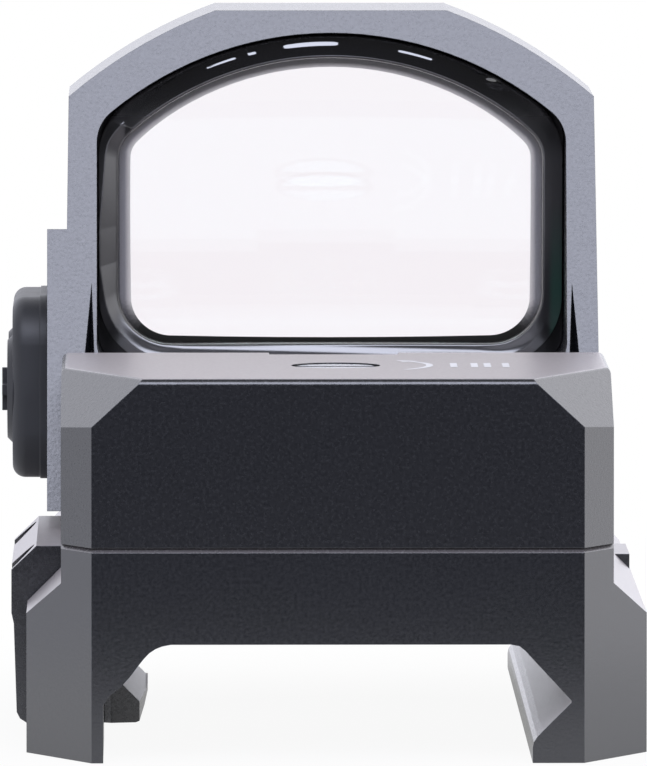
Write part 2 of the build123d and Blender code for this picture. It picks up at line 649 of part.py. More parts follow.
def mount_base():
    """Clamp base milled from bar."""
    body = along_y(mount_outline(), REAR, MOUNT_FRONT) + far_shoulder()
    for side in (-1, 1):
        body -= corner_cutter(side, LOWER_HALF, LOWER_CORNER, MOUNT_BOTTOM - 1, SEAM + 1)
        nose = outline((side * (LOWER_HALF - 1.2), MOUNT_FRONT + 0.1), (side * (LOWER_HALF + 1), MOUNT_FRONT + 0.1),
                       (side * (LOWER_HALF + 1), MOUNT_FRONT - 2.5), (side * LOWER_HALF, MOUNT_FRONT - 2.5))
        body -= extrude(Plane.XY.offset(MOUNT_BOTTOM - 1) * nose, amount=SEAM - MOUNT_BOTTOM + 2)
    rear_top = [e for e in body.edges() if abs(e.center().Z - SEAM) < 0.01 and e.center().Y < REAR + 3]
    body = chamfer(rear_top, MOUNT_LIP)
    nose_top = [e for e in body.edges() if abs(e.center().Z - SEAM) < 0.01 and e.center().Y > MOUNT_FRONT - 0.01]
    body = chamfer(nose_top, 1.5)
    y0 = JAW_Y[0] - JAW_GAP
    y1 = JAW_Y[1] + JAW_GAP
    body -= block(-20, -JAW_INNER + JAW_GAP, y0, y1, MOUNT_BOTTOM - 1, JAW_TOP + JAW_GAP)
    body -= block(-20, -V_TOP_X, y0, y1, MOUNT_BOTTOM - 1, 0.1)
    body -= block(-V_TOP_X - 0.1, V_TOP_X + 0.1, LUG_Y - LUG_LONG / 2 - 0.03,
                  LUG_Y + LUG_LONG / 2 + 0.03, -0.2, 0.9)
    for y in CLAMP_Y:
        body -= rod_x(-13, -1.5, y, CLAMP_Z, CLAMP_R + FIT)
    for side in (-1, 1):
        body -= rod_z(side * BODY_SCREW_X, BODY_SCREW_Y, BODY_SCREW_TIP - 0.1, SEAM + 1, BODY_SCREW_R + FIT)
        body -= rod_z(side * PIN_X, PIN_Y, 2.0, SEAM + 1, PIN_R)
    return body


def clamp_jaw():
    """Moving jaw that hooks under the left side of the rail, drawn in past the rail's width."""
    ax, az = V_APEX
    flank = az - ax + 0.48
    face = outline((-JAW_INNER, JAW_TOP), (-13.8, JAW_TOP), (-JAW_OUT, 2.4), (-JAW_OUT, 0.4),
                   (-14.84, -0.1), (-14.71, -4.2), (-14.56, -4.5), (-14.13, -4.78), (-9.2, -4.66),
                   (-8.8, -4.5), (-JAW_TIP_X, -4.25), (-JAW_TIP_X, flank + JAW_TIP_X + 0.1),
                   (-JAW_TIP_X - 0.1, flank + JAW_TIP_X + 0.1), (-ax + 0.5, az - 0.02), (-ax, az + 0.1),
                   (-V_TOP_X - JAW_GAP, -JAW_GAP), (-JAW_INNER, -JAW_GAP))
    jaw = along_y(face, JAW_Y[0], JAW_Y[1])
    rear = JAW_Y[0]
    tip = outline((-JAW_TIP_X - 0.38, rear - 1), (0, rear - 1), (0, 6), (-JAW_TIP_X, 6), (-JAW_TIP_X - 0.38, rear))
    step = outline((-20, rear - 1), (-10.34, rear - 1), (-10.34, rear), (-10.64, rear + 0.3), (-20, rear + 0.3))
    jaw -= extrude(Plane.XY.offset(-6) * tip, amount=3)
    jaw -= extrude(Plane.XY.offset(-6) * step, amount=12)
    for y in CLAMP_Y:
        jaw -= rod_x(-16, -12.95, y, CLAMP_Z, 1.9)
        jaw -= rod_x(-13, -11, y, CLAMP_Z, CLAMP_R + 0.1)
    return jaw


def clamp_screw(y):
    """Socket head screw that draws the jaw in."""
    head = rod_x(-14.0, -12.97, y, CLAMP_Z, 1.8)
    head = chamfer(head.edges().group_by(Axis.X)[0], 0.15)
    socket = along_x(Pos(y, CLAMP_Z) * RegularPolygon(0.75, 6), -14.1, -13.2)
    return head + rod_x(-13.0, -3.0, y, CLAMP_Z, CLAMP_R) - socket


def recoil_lug():
    """Steel key across the channel that drops into a slot of the rail."""
    lug = block(-8.2, 8.2, LUG_Y - LUG_LONG / 2, LUG_Y + LUG_LONG / 2, -LUG_DEEP, 0.87)
    return chamfer(lug.edges().group_by(Axis.Z)[0], 0.3)


def body_screws():
    """Two screws that hold the sight on the mount."""
    screws = []
    for side in (-1, 1):
        x = side * BODY_SCREW_X
        seat = WELL_FLOOR + 0.02
        head = rod_z(x, BODY_SCREW_Y, seat, seat + 1.3, BODY_SCREW_HEAD_R)
        head = chamfer(head.edges().group_by(Axis.Z)[-1], 0.2)
        socket = Plane.XY.offset(seat + 0.5) * Pos(x, BODY_SCREW_Y) * RegularPolygon(0.8, 6)
        shank = rod_z(x, BODY_SCREW_Y, BODY_SCREW_TIP, seat + 0.1, BODY_SCREW_R)
        screws.append(head + shank - extrude(socket, amount=2))
    return Compound(children=screws)


def recoil_pins():
    """Two posts in the mount that take the load between mount and sight."""
    pins = []
    for side in (-1, 1):
        pin = rod_z(side * PIN_X, PIN_Y, 2.0, 5.9, PIN_R)
        pins.append(chamfer(pin.edges().group_by(Axis.Z)[-1], 0.2))
    return Compound(children=pins)


def main():
    """Build every piece and write one STEP file each."""
    pieces = {
        "housing": housing(),
        "objective_lens": objective_lens(),
        "lens_seal": lens_seal(),
        "lens_bezel": lens_bezel(),
        "emitter_window": emitter_window(),
        "elevation_slide": elevation_slide(),
        "led_holder": led_holder(),
        "led_die": led_die(),
        "elevation_screw": elevation_screw(),
        "windage_screw": windage_screw(),
        "elevation_seal": elevation_seal(),
        "windage_seal": windage_seal(),
        "elevation_spring": elevation_spring(),
        "windage_spring": windage_spring(),
        "circuit_board": circuit_board(),
        "board_chips": board_chips(),
        "bottom_cover": bottom_cover(),
        "bottom_cover_screws": bottom_cover_screws(),
        "battery": battery(),
        "battery_tray": battery_tray(),
        "tray_seal": tray_seal(),
        "tray_screw": tray_screw(),
        "battery_contacts": battery_contacts(),
        "keypad_cover": keypad_cover(),
        "button_rear": button(BUTTON_Y[0], True),
        "button_front": button(BUTTON_Y[1], False),
        "keypad_board": keypad_board(),
        "switch_domes": switch_domes(),
        "mount_base": mount_base(),
        "clamp_jaw": clamp_jaw(),
        "clamp_screw_rear": clamp_screw(CLAMP_Y[0]),
        "clamp_screw_front": clamp_screw(CLAMP_Y[1]),
        "recoil_lug": recoil_lug(),
        "body_screws": body_screws(),
        "recoil_pins": recoil_pins(),
    }
    for name, shape in pieces.items():
        export_step(shape, f"parts/{name}.step")


if __name__ == "__main__":
    main()
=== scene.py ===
# %% [markdown]
# # A compact reflex sight on a rail clamp
# The imported CAD model gives every machined and moulded piece at its real size.  This lesson dresses
# those pieces: anodised aluminium, black oxide steel, moulded rubber and coated glass.  It then lays the
# sealing bead round the lens, winds the elevation spring, paints the marks on the deck, and sets up a
# light tent and a long lens.

# %% Load the frame
import json
import math

import bpy
import numpy as np
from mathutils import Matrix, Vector


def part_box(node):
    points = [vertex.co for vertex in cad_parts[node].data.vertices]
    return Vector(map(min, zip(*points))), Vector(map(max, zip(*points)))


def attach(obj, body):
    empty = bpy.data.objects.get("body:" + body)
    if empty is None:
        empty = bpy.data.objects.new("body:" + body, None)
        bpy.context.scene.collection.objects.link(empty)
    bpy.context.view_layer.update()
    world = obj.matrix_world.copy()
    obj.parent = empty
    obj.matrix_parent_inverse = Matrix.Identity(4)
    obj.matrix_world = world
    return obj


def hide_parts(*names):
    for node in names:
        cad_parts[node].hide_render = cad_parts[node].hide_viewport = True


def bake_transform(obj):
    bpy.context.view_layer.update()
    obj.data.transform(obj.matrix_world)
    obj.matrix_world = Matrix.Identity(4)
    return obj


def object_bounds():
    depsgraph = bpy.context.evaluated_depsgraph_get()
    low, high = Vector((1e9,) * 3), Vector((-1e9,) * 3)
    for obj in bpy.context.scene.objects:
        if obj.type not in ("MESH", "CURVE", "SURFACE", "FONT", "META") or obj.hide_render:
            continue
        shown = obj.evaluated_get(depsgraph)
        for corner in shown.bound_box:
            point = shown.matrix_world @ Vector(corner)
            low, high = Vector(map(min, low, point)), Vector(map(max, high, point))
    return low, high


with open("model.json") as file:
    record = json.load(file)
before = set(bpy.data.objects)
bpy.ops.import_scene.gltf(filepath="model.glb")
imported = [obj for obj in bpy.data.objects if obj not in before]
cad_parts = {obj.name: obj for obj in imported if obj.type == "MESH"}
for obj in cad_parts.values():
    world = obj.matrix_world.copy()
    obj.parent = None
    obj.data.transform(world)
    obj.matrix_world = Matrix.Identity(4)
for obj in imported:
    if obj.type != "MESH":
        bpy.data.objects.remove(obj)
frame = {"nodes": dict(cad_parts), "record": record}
cad_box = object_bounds()
MM = 0.001

# %% [markdown]
# ## A small vocabulary for finishes
# A finish is a tree of shader nodes.  Writing each link by hand hides the idea, so a few helpers keep the
# recipes short: `new_finish` starts a material with one Principled shader, `add` makes a node with its
# sockets set, and `wire` joins two of them.

# %% Helpers for node trees
def new_finish(name):
    """An empty material with one Principled shader wired to its output."""
    material = bpy.data.materials.new(name)
    material.use_nodes = True
    tree = material.node_tree
    tree.nodes.clear()
    shader = tree.nodes.new("ShaderNodeBsdfPrincipled")
    output = tree.nodes.new("ShaderNodeOutputMaterial")
    tree.links.new(shader.outputs["BSDF"], output.inputs["Surface"])
    return material, tree, shader


def add(tree, kind, settings=None, **sockets):
    """A node of one kind; settings are its attributes, sockets its input values by name."""
    made = tree.nodes.new("ShaderNode" + kind)
    for key, value in (settings or {}).items():
        setattr(made, key, value)
    for key, value in sockets.items():
        made.inputs[key.replace("_", " ")].default_value = value
    return made


def wire(tree, source, output, target, socket):
    """Link an output to an input, both by name or number."""
    tree.links.new(source.outputs[output], target.inputs[socket])


# %% [markdown]
# ## Noise and masks
# Nearly every finish is noise turned into a range: clouds in a dye, pits in a gloss, worn patches.  The
# noise is read on object coordinates, which are the frame's metres, so its scale is in features per metre
# and the same on every piece.

# %% Noise, ranges and mixes
NOISE_SPAN = (0.3, 0.7)


def object_place(tree):
    """Object coordinates, which are the CAD frame's metres."""
    return add(tree, "TexCoord")


def mottle(tree, place, scale, detail=4.0, rough=0.55):
    """Noise on object coordinates; scale is in features per metre."""
    noise = add(tree, "TexNoise", Scale=scale, Detail=detail, Roughness=rough)
    wire(tree, place, "Object", noise, "Vector")
    return noise


def stretched(tree, place, scale):
    """Object coordinates with a scale of their own for each axis."""
    stretch = add(tree, "Mapping")
    stretch.inputs["Scale"].default_value = scale
    wire(tree, place, "Object", stretch, "Vector")
    return stretch


def drawn_noise(tree, place, scale, detail):
    """Noise on stretched coordinates, for marks that run one way."""
    noise = add(tree, "TexNoise", Scale=1.0, Detail=detail)
    wire(tree, stretched(tree, place, scale), "Vector", noise, "Vector")
    return noise


def remap(tree, source, output, low, high, to_low, to_high):
    """Map a value range onto another, held at both ends."""
    ramp = add(tree, "MapRange")
    for number, value in zip((1, 2, 3, 4), (low, high, to_low, to_high)):
        ramp.inputs[number].default_value = value
    wire(tree, source, output, ramp, 0)
    return ramp


def combine(tree, operation, first, second):
    """Math on two values, each given as a node and the name of its output."""
    made = add(tree, "Math", {"operation": operation})
    wire(tree, *first, made, 0)
    wire(tree, *second, made, 1)
    return made


def blend_colours(tree, factor, output, dark, light):
    """Mix two colours by a factor."""
    mix = add(tree, "Mix", {"data_type": "RGBA"})
    mix.inputs["A"].default_value = (*dark, 1)
    mix.inputs["B"].default_value = (*light, 1)
    wire(tree, factor, output, mix, 0)
    return mix


def tint_over(tree, base, mask, output, colour):
    """Lay a colour over a base mix where the mask is 1."""
    mix = add(tree, "Mix", {"data_type": "RGBA"})
    mix.inputs["B"].default_value = (*colour, 1)
    wire(tree, mask, output, mix, 0)
    wire(tree, base, "Result", mix, "A")
    return mix


def facing_up(tree, least, most, full=1.0):
    """From 0 to full as the upward part of the true normal goes from least to most."""
    geometry = add(tree, "NewGeometry")
    parts = add(tree, "SeparateXYZ")
    wire(tree, geometry, "True Normal", parts, 0)
    return remap(tree, parts, "Z", least, most, 0.0, full)


# %% [markdown]
# ## Edges that catch the light
# Machined edges are never perfectly sharp: tumbling and anodising leave a hair-thin round that shines.
# A Bevel node bends the normal near an edge as if it were rounded.  How far it bends it also tells us
# where the edges are, so the same node can thin the black dye there, as handling does.

# %% Rounded edge normal and edge mask
BEVEL_SAMPLES = 6
FLAT_DOT = 0.995
EDGE_DOT = 0.9


def rounded(tree, radius_mm):
    """Normal bent near edges as if they were rounded."""
    return add(tree, "Bevel", {"samples": BEVEL_SAMPLES}, Radius=radius_mm * MM)


def edge_mask(tree, bevel):
    """1 on edges: from the dot product of the bent and the true normal."""
    geometry = add(tree, "NewGeometry")
    dot = add(tree, "VectorMath", {"operation": "DOT_PRODUCT"})
    wire(tree, bevel, "Normal", dot, 0)
    wire(tree, geometry, "True Normal", dot, 1)
    return remap(tree, dot, "Value", FLAT_DOT, EDGE_DOT, 0.0, 1.0)


def relief(tree, noise, bevel, strength, depth_mm):
    """A noise as fine relief on top of the rounded edges."""
    bump = add(tree, "Bump", Strength=strength, Distance=depth_mm * MM)
    wire(tree, noise, "Fac", bump, "Height")
    wire(tree, bevel, "Normal", bump, "Normal")
    return bump


def grain(tree, place, bevel, scale, strength, depth_mm):
    """Fine even noise as relief, for a blasted or moulded skin."""
    noise = mottle(tree, place, scale, detail=1.5, rough=0.5)
    return relief(tree, noise, bevel, strength, depth_mm)


# %% [markdown]
# ## Hard anodised aluminium
# The body, mount and jaw are milled, blasted with fine beads and dyed black in the anodising bath.  The
# blasting leaves a grain of about a tenth of a millimetre, so a face looks speckled where a lamp skims
# it.  The oxide is a clear ceramic film over dyed metal, which is why its gloss is stronger than paint's.
# Faces that look up are painted paler: partly a dusty film, partly a painted sheen where they mirror the
# bright surround.  Above a given height the paleness fades to a smaller share, so a mask by height says
# how much is left.

# %% Anodised finish
ANODISED_EDGE = 0.03
DYE_CLOUDS = 240.0
SPECKS = 6500.0
WEAR_PATCHES = 900.0
PITS = 7000.0
PIT_DEPTH = 0.02
SPARKLE = 0.2275
GLOSS_SPREAD = 0.039
BARE_METAL = (0.16, 0.165, 0.18)
OXIDE_IOR = 1.9
DUST_AND_SHEEN = (0.355, 0.325, 0.325)
DUST_AND_SHEEN_ROUGH = 0.1
DUST_AND_SHEEN_RAMP = 0.12
SHEEN_FADE_Z = (0.014, 0.020)
MOUNT_SHEEN_FADE_Z = (0.0040, 0.0042)
CLOUD_DARK = 0.8
SPECK_LIFT = 2.2
PATCH_SPAN = (0.35, 0.65)
LEAST_WORN = 0.2
SPARKLE_SPAN = (0.3, 0.8)


def top_dust_and_sheen(tree, place, sheen_from, fade_heights, high_share):
    """Mask of faces that look up, painted paler by a dusty film and a painted sheen; between two heights it
    fades to a smaller share.
    """
    upward = facing_up(tree, sheen_from, sheen_from + DUST_AND_SHEEN_RAMP)
    where = add(tree, "SeparateXYZ")
    wire(tree, place, "Object", where, 0)
    low_down = remap(tree, where, "Z", *fade_heights, 1.0, high_share)
    return combine(tree, "MULTIPLY", (upward, "Result"), (low_down, "Result"))


def anodised(name, dye, rough, pitting, worn=0.35, sheen_from=0.88, fade_heights=SHEEN_FADE_Z, high_share=0.1):
    """Bead-blasted black anodising: cloudy, speckled dye, pitted gloss, thin bright edges, a dusty film and
    painted sheen on top.
    """
    material, tree, shader = new_finish(name)
    place = object_place(tree)
    bevel = rounded(tree, ANODISED_EDGE)
    cloud = mottle(tree, place, DYE_CLOUDS)
    tone = blend_colours(tree, cloud, "Fac", [CLOUD_DARK * c for c in dye], dye)
    speck = mottle(tree, place, SPECKS, detail=2.0)
    sparkle = remap(tree, speck, "Fac", *SPARKLE_SPAN, 0.0, SPARKLE)
    speckled = tint_over(tree, tone, sparkle, "Result", [SPECK_LIFT * c for c in dye])
    patch = mottle(tree, place, WEAR_PATCHES)
    patchy = remap(tree, patch, "Fac", *PATCH_SPAN, LEAST_WORN * worn, worn)
    wear = combine(tree, "MULTIPLY", (edge_mask(tree, bevel), "Result"), (patchy, "Result"))
    bare = tint_over(tree, speckled, wear, "Value", BARE_METAL)
    # Faces that look up turn paler: a dusty film, and a painted sheen of the bright surround they mirror.
    pale_tops = top_dust_and_sheen(tree, place, sheen_from, fade_heights, high_share)
    dusty = tint_over(tree, bare, pale_tops, "Value", DUST_AND_SHEEN)
    wire(tree, dusty, "Result", shader, "Base Color")
    pitted = remap(tree, speck, "Fac", *NOISE_SPAN, rough - GLOSS_SPREAD, rough + GLOSS_SPREAD)
    gloss = add(tree, "Math", {"operation": "MULTIPLY_ADD"})
    gloss.inputs[1].default_value = DUST_AND_SHEEN_ROUGH
    wire(tree, pale_tops, "Value", gloss, 0)
    wire(tree, pitted, "Result", gloss, 2)
    wire(tree, gloss, "Value", shader, "Roughness")
    shader.inputs["IOR"].default_value = OXIDE_IOR
    wire(tree, grain(tree, place, bevel, PITS, pitting, PIT_DEPTH), "Normal", shader, "Normal")
    return material


BODY_DYE = (0.0075, 0.008, 0.0105)
MOUNT_DYE = (0.009, 0.0098, 0.0125)
JAW_DYE = (0.016, 0.0165, 0.02)
anodised_body = anodised("anodised_body", BODY_DYE, 0.25, 0.28)
# On the mount and the jaw sloping faces turn paler too, and on the mount a share stays above 4.2 mm: painted
# sheen as well as a dusty film.
anodised_mount = anodised("anodised_mount", MOUNT_DYE, 0.23, 0.128, worn=0.4, sheen_from=0.6,
                          fade_heights=MOUNT_SHEEN_FADE_Z, high_share=0.28)
anodised_tray = anodised("anodised_tray", BODY_DYE, 0.24, 0.28)
anodised_jaw = anodised("anodised_jaw", JAW_DYE, 0.26, 0.128, sheen_from=0.6)
print("anodised nodes", len(anodised_body.node_tree.nodes))

# %% [markdown]
# ## Steel, brass and the coin cell
# Screws are black oxide steel: nearly black, but oily and glossy.  Their faces that look up are painted a
# pale bluish grey, a painted reflection of the bright surround.  The lug, pins and springs are bare steel
# with fine turning lines.  One recipe covers them all, a metal with stretched noise for tool marks,
# because only colour and gloss differ.

# %% Metal finish
METAL_EDGE = 0.06
TOOL_MARKS = (3000.0, 3000.0, 14000.0)
TURNED_STEEL = (16000.0, 2500.0, 2500.0)
TURNED_BRASS = (14000.0, 2500.0, 2500.0)
ROLLED = (5000.0, 5000.0, 900.0)
MARK_DARK = 0.75
MARK_STRENGTH, MARK_DEPTH = 0.25, 0.01
EDGE_SHINE = 0.6
HEAD_GLINT_SPAN = (0.9, 0.98)
HEAD_GLINT_GREY = (0.62, 0.66, 0.72)


def worked_metal(name, colour, rough, metallic=1.0, lines=TOOL_MARKS, ior=1.5, head_glint=0.0):
    """Metal with tool marks: noise stretched along one axis, and a painted pale reflection on faces that look
    up.
    """
    material, tree, shader = new_finish(name)
    marks = drawn_noise(tree, object_place(tree), lines, 3.0)
    bevel = rounded(tree, METAL_EDGE)
    tone = blend_colours(tree, marks, "Fac", [MARK_DARK * c for c in colour], colour)
    faint = remap(tree, edge_mask(tree, bevel), "Result", 0.0, 1.0, 0.0, EDGE_SHINE)
    shine = tint_over(tree, tone, faint, "Result", [min(1.0, 1.6 * c + 0.05) for c in colour])
    # Faces that look up get a painted reflection of the bright surround, pale bluish grey.
    upward = facing_up(tree, *HEAD_GLINT_SPAN, head_glint)
    glinted = tint_over(tree, shine, upward, "Result", HEAD_GLINT_GREY)
    wire(tree, glinted, "Result", shader, "Base Color")
    gloss = remap(tree, marks, "Fac", *NOISE_SPAN, rough - 0.05, rough + 0.08)
    wire(tree, gloss, "Result", shader, "Roughness")
    shader.inputs["Metallic"].default_value = metallic
    shader.inputs["IOR"].default_value = ior
    wire(tree, relief(tree, marks, bevel, MARK_STRENGTH, MARK_DEPTH), "Normal", shader, "Normal")
    return material


black_steel = worked_metal("black_steel", (0.05, 0.05, 0.055), 0.24, metallic=0.6, ior=2.2, head_glint=0.9)
plain_steel = worked_metal("plain_steel", (0.42, 0.42, 0.43), 0.34, lines=TURNED_STEEL)
spring_steel = worked_metal("spring_steel", (0.6, 0.6, 0.6), 0.2)
cell_can = worked_metal("cell_can", (0.62, 0.62, 0.63), 0.26, lines=ROLLED)
contact_brass = worked_metal("contact_brass", (0.8, 0.6, 0.28), 0.25)
carriage_brass = worked_metal("carriage_brass", (0.66, 0.5, 0.26), 0.32, lines=TURNED_BRASS)
print("steel nodes", len(black_steel.node_tree.nodes))

# %% [markdown]
# ## Rubber and plastic
# The keypad is one soft moulding with a dull, slightly dusty skin.  Dust shows most where the surface
# turns away from the eye, which is a job for sheen.  Seals are the same rubber without the dust, and the
# chips and the diode are harder plastic from the same recipe.

# %% Moulded finishes
MOULD_EDGE = 0.08
SKIN_CLOUDS = 700.0
SKIN_DEPTH = 0.015
SKIN_SPREAD = 0.04
SMOOTHEST = 0.02
PLASTIC_IOR = 1.5


def moulded(name, colour, rough, texture_scale, strength, sheen=0.0, coat=0.0):
    """Moulded rubber or plastic: fine texture, faint cloudiness, optional dusty sheen or gloss coat."""
    material, tree, shader = new_finish(name)
    place = object_place(tree)
    cloud = mottle(tree, place, SKIN_CLOUDS)
    tone = blend_colours(tree, cloud, "Fac", [0.8 * c for c in colour], [1.2 * c for c in colour])
    wire(tree, tone, "Result", shader, "Base Color")
    gloss = remap(tree, cloud, "Fac", *NOISE_SPAN, max(SMOOTHEST, rough - SKIN_SPREAD), rough + SKIN_SPREAD)
    wire(tree, gloss, "Result", shader, "Roughness")
    skin = grain(tree, place, rounded(tree, MOULD_EDGE), texture_scale, strength, SKIN_DEPTH)
    wire(tree, skin, "Normal", shader, "Normal")
    shader.inputs["IOR"].default_value = PLASTIC_IOR
    shader.inputs["Sheen Weight"].default_value = sheen
    shader.inputs["Sheen Roughness"].default_value = 0.5
    shader.inputs["Coat Weight"].default_value = coat
    shader.inputs["Coat Roughness"].default_value = 0.06
    return material


keypad_rubber = moulded("keypad_rubber", (0.018, 0.019, 0.022), 0.5, 8000.0, 0.3, sheen=0.1)
seal_rubber = moulded("seal_rubber", (0.012, 0.012, 0.012), 0.45, 6000.0, 0.1)
black_sealant = moulded("black_sealant", (0.01, 0.01, 0.011), 0.3, 1500.0, 0.1)
chip_plastic = moulded("chip_plastic", (0.015, 0.015, 0.016), 0.5, 9000.0, 0.3)
print("moulded nodes", len(keypad_rubber.node_tree.nodes))

# %% [markdown]
# ## Gloss sealant
# The bead round the lens is a black sealant poured from a needle.  It is glassy along the top, where it
# was laid last, and duller at the sides, where a tool wiped it and left fine upright drag lines.  Low on
# the right a dark green is painted into it, a painted reflection of the lens coating's green glint.

# %% Sealant finish
GREEN_Z = (0.0145, 0.0185)
GREEN_X = (0.0103, 0.0105)
GLASSY_Z = (0.0225, 0.0245)
SEALANT = (0.006, 0.006, 0.007)
GREEN_REFLECTION = (0.007, 0.045, 0.031)
SEALANT_IOR = 2.45
DRAG_LINES = (5000.0, 2500.0, 150.0)
DRAG_STRENGTH, DRAG_DEPTH = 0.25, 0.02
WIPED_ROUGH, GLASSY_ROUGH = 0.28, 0.05


def poured_sealant(name):
    """Glossy black whose roughness falls with height, with drag lines and a painted green reflection low on
    the right.
    """
    material, tree, shader = new_finish(name)
    place = object_place(tree)
    parts = add(tree, "SeparateXYZ")
    wire(tree, place, "Object", parts, 0)
    # Low on the right: dark green painted in, a painted reflection of the coated lens.
    low = remap(tree, parts, "Z", *GREEN_Z, 1.0, 0.0)
    right = remap(tree, parts, "X", *GREEN_X, 0.0, 1.0)
    cast = combine(tree, "MULTIPLY", (low, "Result"), (right, "Result"))
    tint = blend_colours(tree, cast, "Value", SEALANT, GREEN_REFLECTION)
    wire(tree, tint, "Result", shader, "Base Color")
    gloss = remap(tree, parts, "Z", *GLASSY_Z, WIPED_ROUGH, GLASSY_ROUGH)
    wire(tree, gloss, "Result", shader, "Roughness")
    shader.inputs["IOR"].default_value = SEALANT_IOR
    fade = remap(tree, parts, "Z", *GLASSY_Z, DRAG_STRENGTH, 0.0)
    bump = add(tree, "Bump", Distance=DRAG_DEPTH * MM)
    wire(tree, fade, "Result", bump, "Strength")
    wire(tree, drawn_noise(tree, place, DRAG_LINES, 2.0), "Fac", bump, "Height")
    wire(tree, bump, "Normal", shader, "Normal")
    return material


gloss_black = poured_sealant("gloss_black")
print("sealant nodes", len(gloss_black.node_tree.nodes))

# %% [markdown]
# ## Coated glass
# The lens is polished on its two faces and ground on its rim, and a thin film turns red light back to the
# eye.  Seen straight on it is clear with a faint lavender cast, and its edges glint green.  One shader
# does both: where a face turns away from the lens axis it stops being clear and becomes ground glass.

# %% Glass finishes
GROUND_SHADE = (0.03, 0.03, 0.03)
CLEAR_BEVEL = 0.27 * MM
GROUND_ROUGH = 0.45
FROST = 9000.0
POLISHED_SPAN = (0.86, 0.94)
LIT_SPAN = (-0.6, -0.15)
RIM_THROUGH = (0.08, 0.7)
GLASS_IOR = 1.5


def along_axis(tree, source, output, axis):
    """Dot product of a vector with a fixed axis."""
    dot = add(tree, "VectorMath", {"operation": "DOT_PRODUCT"})
    dot.inputs[1].default_value = axis
    wire(tree, source, output, dot, 0)
    return dot


def ground_rim(tree, place, lit, ground):
    """Colour of the ground rim: pale frosted glass where it looks up, painted shade where it looks down."""
    frost = mottle(tree, place, FROST)
    pale = blend_colours(tree, frost, "Fac", [0.8 * c for c in ground], ground)
    # Where the rim looks down its colour is a painted shade, near black.
    rim = add(tree, "Mix", {"data_type": "RGBA"})
    rim.inputs["A"].default_value = (*GROUND_SHADE, 1)
    wire(tree, lit, "Result", rim, 0)
    wire(tree, pale, "Result", rim, "B")
    return rim


def optical_glass(name, axis, edge_at, clear, ground, tint):
    """Glass, polished where the face looks along the axis; its bevel is clear near the face, then ground."""
    material, tree, shader = new_finish(name)
    place = object_place(tree)
    geometry = add(tree, "NewGeometry")
    size = add(tree, "Math", {"operation": "ABSOLUTE"})
    wire(tree, along_axis(tree, geometry, "True Normal", axis), "Value", size, 0)
    polished = remap(tree, size, "Value", *POLISHED_SPAN, 0.0, 1.0)
    lit = facing_up(tree, *LIT_SPAN)
    colour = tint_over(tree, ground_rim(tree, place, lit, ground), polished, "Result", clear)
    wire(tree, colour, "Result", shader, "Base Color")
    rough = remap(tree, polished, "Result", 0.0, 1.0, GROUND_ROUGH, 0.0)
    wire(tree, rough, "Result", shader, "Roughness")
    depth = along_axis(tree, place, "Object", axis)
    near_face = remap(tree, depth, "Value", edge_at, edge_at + CLEAR_BEVEL, 1.0, 0.0)
    rim_through = combine(tree, "MULTIPLY", (near_face, "Result"), (lit, "Result"))
    some = remap(tree, rim_through, "Value", 0.0, 1.0, *RIM_THROUGH)
    through = combine(tree, "MAXIMUM", (some, "Result"), (polished, "Result"))
    wire(tree, through, "Value", shader, "Transmission Weight")
    shader.inputs["IOR"].default_value = GLASS_IOR
    shader.inputs["Specular Tint"].default_value = (*tint, 1)
    return material


NOSE_RAKE = math.radians(7.2)
LENS_AXIS = (0.0, math.cos(NOSE_RAKE), math.sin(NOSE_RAKE))
LENS_EDGE_AT = 13.5 * MM
EMITTER_TILT = math.radians(27.0)
EMITTER_AXIS = (0.0, math.cos(EMITTER_TILT), math.sin(EMITTER_TILT))
coated_glass = optical_glass("coated_glass", LENS_AXIS, LENS_EDGE_AT, (0.955, 0.945, 0.975),
                             (0.55, 0.54, 0.58), (0.6, 1.0, 0.85))
clear_glass = optical_glass("clear_glass", EMITTER_AXIS, 0.0, (0.96, 0.98, 0.98),
                            (0.5, 0.5, 0.5), (1.0, 1.0, 1.0))
print("glass nodes", len(coated_glass.node_tree.nodes))

# %% [markdown]
# ## Board and diode
# A solder mask is a green lacquer with copper tracks just visible through it.  A brick pattern of thin
# lines is enough of a circuit at this size, with a coarse noise in its gloss.

# %% Board and diode finishes
TRACKS_PER_METRE = 900.0


def solder_mask(name):
    """Green lacquer over copper tracks: thin lines of a brick pattern, a little brighter than the field."""
    material, tree, shader = new_finish(name)
    place = object_place(tree)
    tracks = add(tree, "TexBrick", Scale=1.0, Mortar_Size=0.12, Brick_Width=1.4, Row_Height=0.45)
    tracks.inputs["Color1"].default_value = (0.008, 0.07, 0.03, 1)
    tracks.inputs["Color2"].default_value = (0.006, 0.055, 0.025, 1)
    tracks.inputs["Mortar"].default_value = (0.05, 0.17, 0.06, 1)
    wire(tree, stretched(tree, place, (TRACKS_PER_METRE,) * 3), "Vector", tracks, "Vector")
    wire(tree, tracks, "Color", shader, "Base Color")
    gloss = remap(tree, mottle(tree, place, 1500.0), "Fac", *NOISE_SPAN, 0.22, 0.36)
    wire(tree, gloss, "Result", shader, "Roughness")
    bump = add(tree, "Bump", Strength=0.3, Distance=0.02 * MM)
    wire(tree, tracks, "Fac", bump, "Height")
    wire(tree, bump, "Normal", shader, "Normal")
    return material


board = solder_mask("board")
led = moulded("led", (0.5, 0.08, 0.05), 0.2, 3000.0, 0.1, coat=0.6)
print("board nodes", len(board.node_tree.nodes))

# %% [markdown]
# ## Give every CAD node its finish
# The record names a material slot for each node, so a table pairs every slot with its finish and one
# loop hangs them all.  Only the jaw departs from its slot: its black is a little lighter than the mount's,
# as when two parts come out of different baths.

